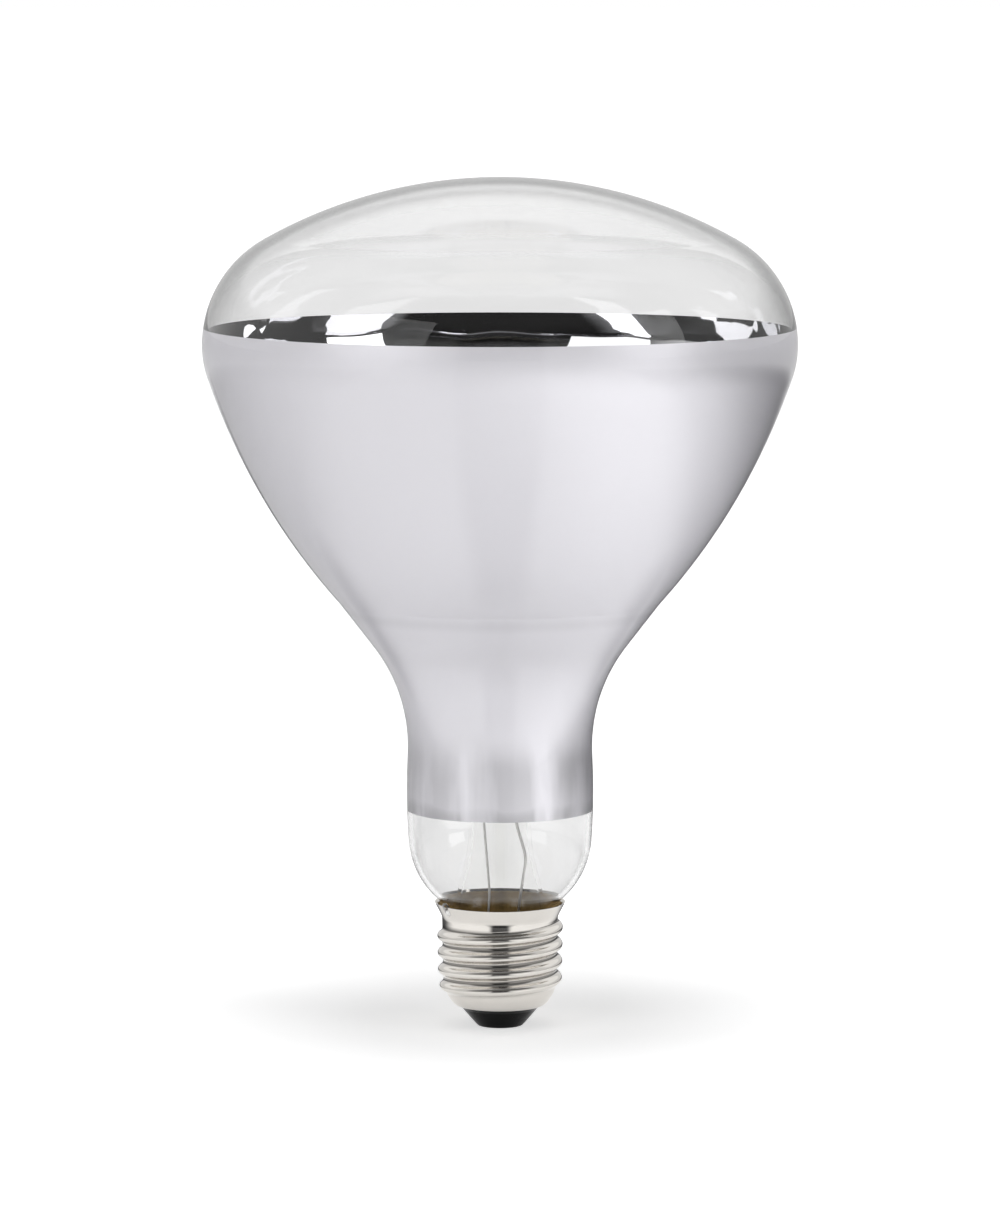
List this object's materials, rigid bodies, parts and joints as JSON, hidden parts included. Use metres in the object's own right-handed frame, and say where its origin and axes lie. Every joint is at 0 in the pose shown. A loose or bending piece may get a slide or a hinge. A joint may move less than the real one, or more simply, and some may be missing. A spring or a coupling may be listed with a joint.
{
  "type": "infrared heat lamp bulb",
  "caption": "Reflector heat lamp bulb: clear domed face, mirrored flaring body, clear neck, glass stem with leads and coiled filament, and a threaded metal screw cap.",
  "frame": {"origin": "on the axis at the underside of the centre contact", "axes": "+Z along the axis from the cap to the glass face, -Y towards the viewer of the picture, with the side solder in front on the left"},
  "size_m": [0.125, 0.125, 0.18],
  "materials": {
    "cap_nickel": "satin nickel plate, thin drawn brass",
    "insulator_glass": "glossy black moulded glass",
    "contact_brass": "pressed, tinned",
    "solder": "tin solder, dull",
    "cement": "baked cap cement, matte",
    "clear_glass": "clear, fire polished",
    "mirror_aluminium": "vacuum aluminium film, satin from outside",
    "stem_glass": "clear, fire polished",
    "mica": "mica sheet",
    "plated_wire": "nickel-plated copper wire",
    "seal_alloy": "copper-clad sealing wire",
    "nickel_wire": "nickel-plated wire",
    "molybdenum": "drawn molybdenum wire",
    "tungsten": "coiled tungsten wire"
  },
  "bodies": {
    "root": {"cap_shell": "cap_nickel", "insulator": "insulator_glass", "contact_plate": "contact_brass", "centre_solder": "solder", "side_solder": "solder", "cement_ring": "cement", "glass_bulb": "clear_glass", "mirror_coating": "mirror_aluminium", "stem_flare": "stem_glass", "exhaust_tube": "stem_glass", "support_rod": "stem_glass", "heat_disc": "mica", "outer_lead_centre": "plated_wire", "outer_lead_side": "plated_wire", "seal_wire_left": "seal_alloy", "seal_wire_right": "seal_alloy", "inner_lead_left": "nickel_wire", "inner_lead_right": "nickel_wire", "filament": "tungsten", "filament_hook_1": "molybdenum", "filament_hook_2": "molybdenum", "filament_hook_3": "molybdenum", "filament_hook_4": "molybdenum", "filament_hook_5": "molybdenum"}
  },
  "joints": []
}
